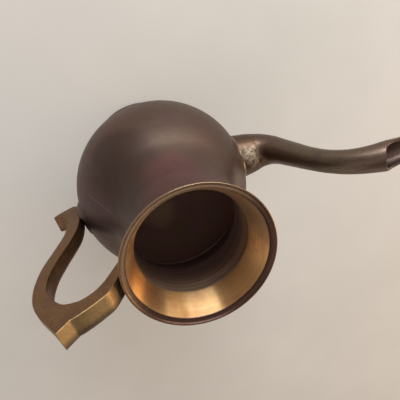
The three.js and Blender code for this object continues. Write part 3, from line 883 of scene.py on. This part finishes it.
def spout_half(side, name, node):
    """One half of the spout: a shell from the bowl to the open lip, with a fine line beside the other."""
    cut = next(l for l in SPOUT_LENGTH if lip_cut_height(spout_at(l)[0][0]) is not None)
    fixed = np.concatenate(
        [
            np.linspace(SPOUT_ROOT_END, cut - 0.3, 110, endpoint=False),
            np.linspace(cut - 0.3, cut + 6, 50, endpoint=False),
            np.linspace(cut + 6, SPOUT_LENGTH[-1], 24),
        ]
    )
    fan = np.linspace(0, 1, 28, endpoint=False)
    rows = len(fan) + len(fixed)
    dark_rows = rows - 60  # past these, the inside is finished like the outside
    n = SPOUT_COLUMNS
    rim_steps = 5
    rim_swell = 0.22
    shares = np.linspace(0, 1, n + 1)
    outer_roots = [root_length(math.pi * s, side) for s in shares]
    inner_roots = [root_length(math.pi * s, side, SPOUT_WALL) for s in shares]
    points = []
    for row in range(rows):
        walls = []
        for inset, roots, order in ((0.0, outer_roots, shares[::-1]), (SPOUT_WALL, inner_roots, shares)):
            wall = []
            for s in order:
                index = int(round(s * n))
                if row < len(fan):
                    length = roots[index] + (SPOUT_ROOT_END - roots[index]) * fan[row]
                else:
                    length = fixed[row - len(fan)]
                start = lip_angle(length, inset)
                at_seam = index == n or (index == 0 and start == 0)
                dip = SPOUT_GROOVE if at_seam and inset == 0 else 0
                point = on_spout(length, start + (math.pi - start) * s, side, inset + dip)
                point[1] = side * max(side * point[1], SPOUT_GAP)
                wall.append(point)
            walls.append(wall)
        outer, inner = walls
        edge, back = outer[-1], inner[0]
        tangent = edge - outer[-2]
        tangent = tangent / max(np.linalg.norm(tangent), 1e-6)
        swell = rim_swell if lip_angle(length) > 0 else 0.0
        rim = []
        for k in range(1, rim_steps):
            share = k / rim_steps
            rim.append(edge + (back - edge) * share + tangent * swell * math.sin(math.pi * share))
        points += outer + rim + inner
    size = 2 * (n + 1) + rim_steps - 1
    faces = strips(rows, size)
    dark = np.zeros((rows - 1, size), int)
    dark[:dark_rows, n + rim_steps : size - 1] = 1
    picks = dark.ravel().tolist()
    for base in (0, (rows - 1) * size):
        for k in range(n):
            faces.append([base + k, base + k + 1, base + size - 2 - k, base + size - 1 - k])
        faces.append([base + n + k for k in range(rim_steps + 1)])
    picks += [0] * (len(faces) - len(picks))
    return dress(make(name, points, faces, [SPOUT, INSIDE], picks), "patina", node)


def spout_bead():
    """A thin bead of braze round the spout's root."""
    count, section = 220, 9
    points = []
    for k in range(count):
        turn = 2 * math.pi * k / count
        side = 1 if turn <= math.pi else -1
        angle = turn if side == 1 else 2 * math.pi - turn
        length = root_length(angle, side)
        base = on_spout(length, angle, side)
        ahead = on_spout(length + 0.4, angle, side) - base
        ahead = ahead / np.linalg.norm(ahead)
        normal = (base - CENTRE) / np.linalg.norm(base - CENTRE)
        away = base - spout_at(length)[0]
        away = away - normal * (away @ normal)
        away = away / np.linalg.norm(away)
        lump = noise.fractal(Vector((2.2 * math.cos(turn), 2.2 * math.sin(turn), 4.0)), 1.0, 2.0, 4)
        width, height = 0.75 * (1 + 0.6 * lump), 0.70 * (1 - 0.5 * lump)
        low = base + away * width - normal * 0.04
        top = base + ahead * height - away * 0.05
        corner = base + 0.16 * away + 0.16 * ahead
        points += bend(low, corner, top, section - 2)
        points.append(base - 0.25 * normal - 0.2 * away)
    faces = [[v % len(points) for v in face] for face in strips(count + 1, section)]
    return dress(make("spout_bead", points, faces, [BRAZE], sharp=60), "braze", "spout_braze")


# Handle
def rail(points, corners):
    """A curve through the points that keeps a corner at the given ones."""
    out = []
    marks = [0, *corners, len(points) - 1]
    for start, end in zip(marks[:-1], marks[1:]):
        piece = centripetal(points[start : end + 1], RIB_STEPS)
        out += list(piece if end == marks[-1] else piece[:-1])
    return np.array(out)


def handle_rails():
    """The handle's inner and outer edge, in the jug's frame."""
    side, top = AXIS - BODY_R, AXIS - RIM_R
    ribs = [(side - a, BODY_Z + b, side - c, BODY_Z + d) for a, b, c, d in LOWER_RIBS]
    ribs += [(top - a, RIM_Z + b, top - c, RIM_Z + d) for a, b, c, d in UPPER_RIBS]
    return rail([r[:2] for r in ribs], []), rail([r[2:] for r in ribs], THUMB_CORNERS)


def handle_section(thickness, rib):
    """[across, sideways] points: a flat near side with small round edges, a far side with rounder ones."""
    half, near = thickness / 2, HANDLE_WIDTH / 2
    edge = min(HANDLE_EDGE, thickness * 0.22)
    inner, outer = (np.interp(rib, FAR_EDGES[:, 0], FAR_EDGES[:, k]) for k in (1, 2))
    fit = min(1, 0.95 * thickness / (inner + outer))
    inner, outer = inner * fit, outer * fit

    def corner(across, side, radius, start, steps):
        angles = np.radians(start - np.linspace(0, 90, steps))
        return [[across + radius * math.cos(a), side + radius * math.sin(a)] for a in angles]

    def between(start, end, steps):
        start, end = np.array(start), np.array(end)
        return [list(start + (end - start) * k / steps) for k in range(1, steps)]

    corners = [
        corner(-half + edge, near - edge, edge, 180, 5),
        corner(half - edge, near - edge, edge, 90, 5),
        corner(half - outer, -near + outer, outer, 0, 12),
        corner(-half + inner, -near + inner, inner, -90, 12),
    ]
    points = []
    for k, here in enumerate(corners):
        points += here + between(here[-1], corners[(k + 1) % 4][0], (12, 5, 6, 5)[k])
    return points


def handle():
    """The handle: one cast bar with a tail below and a thumb piece above."""
    inner, outer = handle_rails()
    near = HANDLE_WIDTH / 2
    dents = [(AXIS - RIM_R - out, RIM_Z + up, radius, depth) for out, up, radius, depth in DENTS]
    end_rings = [(0.0, 0.45), (0.12, 0.15), (0.42, 0.0)]  # [set back, set in] of the tail's rounded end
    start = [inner[1] - inner[0], outer[1] - outer[0]]
    start = (start[0] + start[1]) / np.linalg.norm(start[0] + start[1])
    rings = []
    for setback, inset in end_rings:
        rings.append((inner[0] + start * setback, outer[0] + start * setback, inset, 0))
    rings += [(inner[k], outer[k], 0.0, k / RIB_STEPS) for k in range(4, len(inner))]
    points = []
    for low, high, inset, rib_at in rings:
        rib = high - low
        thickness = np.linalg.norm(rib)
        along = rib / thickness
        middle = (low + high) / 2
        shrink = 1 - 2 * inset / thickness
        for across, side in handle_section(thickness, rib_at):
            x, z = middle + along * across * shrink
            y = side * (1 - 2 * inset / HANDLE_WIDTH)
            if side > near - 1e-6:
                for cx, cz, radius, depth in dents:
                    y -= depth * math.exp(-((x - cx) ** 2 + (z - cz) ** 2) / (0.5 * radius**2))
            lump = noise.fractal(Vector((x, y, z)) * 0.16, 1.0, 2.0, 3)
            points.append([x, y + 0.10 * lump * (1 if side < near - 1e-6 else 0.5), z])
    size = len(points) // len(rings)
    faces = strips(len(rings), size)
    faces += [list(range(size))[::-1], [(len(rings) - 1) * size + k for k in range(size)]]
    obj = make("jug_handle", points, faces, [WORN_AND_SHADED])
    ball = arc(BODY_R + 0.45, -90, 90)
    ball[0][0] = ball[-1][0] = 0
    grow = 0.3
    side = [[NECK_R, SPIGOT_Z], *MOUTH_SIDE, [RIM_R, LIP_FOOT - 0.4], [RIM_R, RIM_Z + 20]]
    mouth_line = [[0, SPIGOT_Z], *([r + grow, z] for r, z in side), [0, RIM_Z + 20]]
    cutters = [
        turned("ball_cutter", ball, [WORN_AND_SHADED], closed=False, sides=160),
        turned("mouth_cutter", mouth_line, [WORN_AND_SHADED], closed=False, sides=160),
    ]
    apply_boolean(obj, cutters)
    smooth(obj.data)
    return dress(obj, "worn", "handle")


def bed(name, node, place, sides, heights, thickness, seed):
    """A bed of braze spread over a curved surface: place(side, height, lift) gives its points."""
    rings, around = 14, 96
    centre, half_width = sum(sides) / 2, (sides[1] - sides[0]) / 2
    middle, half_height = sum(heights) / 2, (heights[1] - heights[0]) / 2
    points = [place(centre, middle, thickness)]
    for i in range(1, rings + 1):
        share = i / rings
        for k in range(around):
            angle = 2 * math.pi * k / around
            c, s = math.cos(angle), math.sin(angle)
            square = (abs(c) ** 5 + abs(s) ** 5) ** -0.2
            ragged = 1 + 0.09 * noise.fractal(Vector((2 * c, 2 * s, seed)), 1.0, 2.0, 3)
            side = centre + half_width * share * square * c * ragged
            height = middle + half_height * share * square * s * ragged
            lift = thickness * (1 - share**3) ** 0.5
            points.append(place(side, height, lift))
    base = len(points)
    points.append(place(centre, middle, -0.05))
    faces = [[0, 1 + k, 1 + (k + 1) % around] for k in range(around)]
    faces += strips(rings, around, 1)
    edge = 1 + (rings - 1) * around
    faces += [[base, edge + (k + 1) % around, edge + k] for k in range(around)]
    return dress(make(name, points, faces, [PATINA_AND_REFLECTIONS], sharp=50), "patina", node)


def lower_bed():
    """Braze between the handle and the bowl, heaped up beside the handle's near side."""
    low, high = span("handle_lower_braze")
    near = HANDLE_WIDTH / 2

    def place(side, height, lift):
        heap = np.interp(side, (near - 1.5, near + 0.6, high[1]), (0, 1.5, 0.4))
        radius = BODY_R + FIT + lift * (1 + heap)
        return [AXIS - math.sqrt(radius**2 - side**2 - (height - BODY_Z) ** 2), side, height]

    sides, heights = (low[1] - 0.2, high[1]), (low[2], high[2])
    return bed("handle_lower_bead", "handle_lower_braze", place, sides, heights, 0.8, 2.0)


def upper_bed():
    """Braze between the handle and the mouth."""
    low, high = span("handle_upper_braze")

    def place(side, height, lift):
        side_r, side_z = np.array(MOUTH_SIDE).T
        radius = np.interp(height, side_z, side_r) + FIT + lift
        return [AXIS - math.sqrt(radius**2 - side**2), side, height]

    sides, heights = (low[1] - 0.3, high[1] + 0.3), (low[2], high[2])
    return bed("handle_upper_bead", "handle_upper_braze", place, sides, heights, 0.5, 6.0)


bowl()
seam()
shoulder()
mouth()
mouth_seam()
foot()
foot_bead()
spout_half(1, "spout_left", "spout_left_half")
spout_half(-1, "spout_right", "spout_right_half")
spout_bead()
handle()
lower_bed()
upper_bed()


# Stage, light and camera
def floor():
    """A plain pale floor."""
    reach = 3000
    f = Finish("floor", 0.0, (0.66, 0.62, 0.575))
    f.shade(f.noise(0.01, detail=3), 0.3, 0.7, 0.97, 1.03)
    material = f.done(0.75)
    f.shader.inputs["Specular IOR Level"].default_value = 0.2
    points = [[-reach, -reach, 0], [reach, -reach, 0], [reach, reach, 0], [-reach, reach, 0]]
    obj = make("floor", points, [[0, 1, 2, 3]], [material])


def lamp(name, place, target, size, strength, colour):
    """A rectangular lamp of the given brightness, with its place, target and size in millimetres."""
    data = bpy.data.lights.new(name, "AREA")
    data.shape = "RECTANGLE"
    data.size, data.size_y = size[0] * MM, size[1] * MM
    data.energy = strength * math.pi * data.size * data.size_y
    data.color = colour
    obj = bpy.data.objects.new(name, data)
    obj.location = Vector(place) * MM
    obj.rotation_mode = "QUATERNION"
    obj.rotation_quaternion = (Vector(target) - Vector(place)).to_track_quat("-Z", "Y")
    bpy.context.scene.collection.objects.link(obj)


def direction(azimuth, elevation):
    """A unit vector from angles in degrees."""
    a, e = math.radians(azimuth), math.radians(elevation)
    return np.array([math.cos(a) * math.cos(e), math.sin(a) * math.cos(e), math.sin(e)])


def surround():
    """A pale surround with two darker sides, high on the right and low behind the handle, as in a room."""
    world = bpy.data.worlds.new("surround")
    bpy.context.scene.world = world
    world.use_nodes = True
    tree = world.node_tree
    place = add_node(tree, "ShaderNodeTexCoord").outputs["Generated"]
    colour = (0.90, 0.86, 0.805, 1)
    for centre, full, gone, dark in (
        (direction(-83, 65), 0.94, 0.70, (0.20, 0.17, 0.16, 1)),
        (direction(134, 25), 0.95, 0.78, (0.36, 0.31, 0.29, 1)),
    ):
        dot = add_node(tree, "ShaderNodeVectorMath", {0: place, 1: tuple(centre)}, operation="DOT_PRODUCT")
        inputs = {0: dot.outputs["Value"], 1: gone, 2: full}
        share = add_node(tree, "ShaderNodeMapRange", inputs, interpolation_type="SMOOTHSTEP").outputs[0]
        colour = add_node(tree, "ShaderNodeMix", {0: share, 6: colour, 7: dark}, data_type="RGBA").outputs[2]
    tree.links.new(colour, tree.nodes["Background"].inputs[0])


def light():
    """Two window-like lamps that the mouth's flare mirrors, and a small warm one."""
    surround()
    mouth_middle = np.array([AXIS, 0, (THROAT_Z + RIM_Z) / 2])
    reach = 700
    for name, azimuth, elevation, wide, high, strength, colour in (
        ("window", 69, 15, 21, 9, 10.0, (0.90, 1.03, 1.12)),
        ("window_side", 32, 15, 16, 9, 4.0, (1.0, 0.95, 0.85)),
        ("warm", -28, 15, 9, 8, 6.5, (1.0, 0.58, 0.20)),
    ):
        size = (2 * reach * math.tan(math.radians(wide)), 2 * reach * math.tan(math.radians(high)))
        lamp(name, mouth_middle + reach * direction(azimuth, elevation), mouth_middle, size, strength, colour)


def camera():
    """The photograph's view."""
    data = bpy.data.cameras.new("camera")
    data.lens = CAMERA_LENS
    data.sensor_width = 36
    data.clip_start, data.clip_end = 0.01, 20
    obj = bpy.data.objects.new("camera", data)
    turn = Matrix((CAMERA_RIGHT, -CAMERA_DOWN, -CAMERA_FORWARD)).transposed()
    obj.matrix_world = Matrix.Translation(Vector(CAMERA_PLACE) * MM) @ turn.to_4x4()
    bpy.context.scene.collection.objects.link(obj)
    bpy.context.scene.camera = obj


floor()
light()
camera()
bpy.context.scene.view_settings.view_transform = "Standard"
